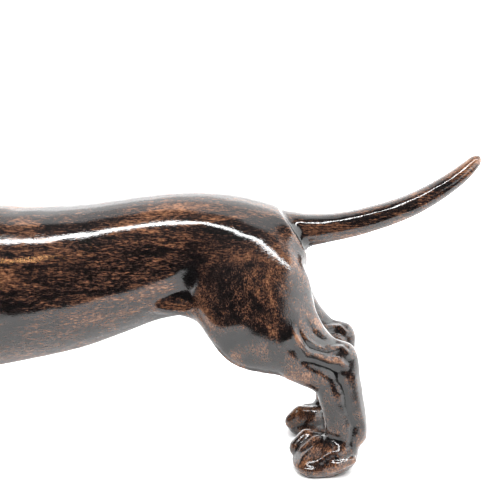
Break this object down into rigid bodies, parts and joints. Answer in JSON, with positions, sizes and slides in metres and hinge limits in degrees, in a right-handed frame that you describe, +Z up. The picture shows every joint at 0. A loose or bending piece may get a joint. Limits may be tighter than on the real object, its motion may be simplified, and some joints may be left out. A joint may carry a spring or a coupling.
{
  "type": "dog figurine",
  "caption": "Standing carved wooden dachshund ornament with a long body, short legs, drop ears and an upswept tail, resting on the flat soles of its paws.",
  "frame": {"origin": "on the surface it stands on, under the middle of its bounding box", "axes": "+Z up, the dog faces -X with its tail towards +X, and its left side is towards -Y"},
  "size_m": [0.2546, 0.0433, 0.1161],
  "materials": {
    "lacquered_wood": "dark brown stain under high-gloss clear lacquer",
    "bare_beech": "bare turned dowel",
    "dark_glass": "polished"
  },
  "bodies": {
    "root": {"body": "lacquered_wood", "head": "lacquered_wood", "ear_left": "lacquered_wood", "ear_right": "lacquered_wood", "eye_left": "dark_glass", "eye_right": "dark_glass", "tail": "lacquered_wood", "front_leg_left": "lacquered_wood", "front_leg_right": "lacquered_wood", "hind_leg_left": "lacquered_wood", "hind_leg_right": "lacquered_wood", "neck_dowel": "bare_beech", "front_leg_left_dowel_1": "bare_beech", "front_leg_left_dowel_2": "bare_beech", "front_leg_right_dowel_1": "bare_beech", "front_leg_right_dowel_2": "bare_beech", "hind_leg_left_dowel_1": "bare_beech", "hind_leg_left_dowel_2": "bare_beech", "hind_leg_right_dowel_1": "bare_beech", "hind_leg_right_dowel_2": "bare_beech"}
  },
  "joints": []
}
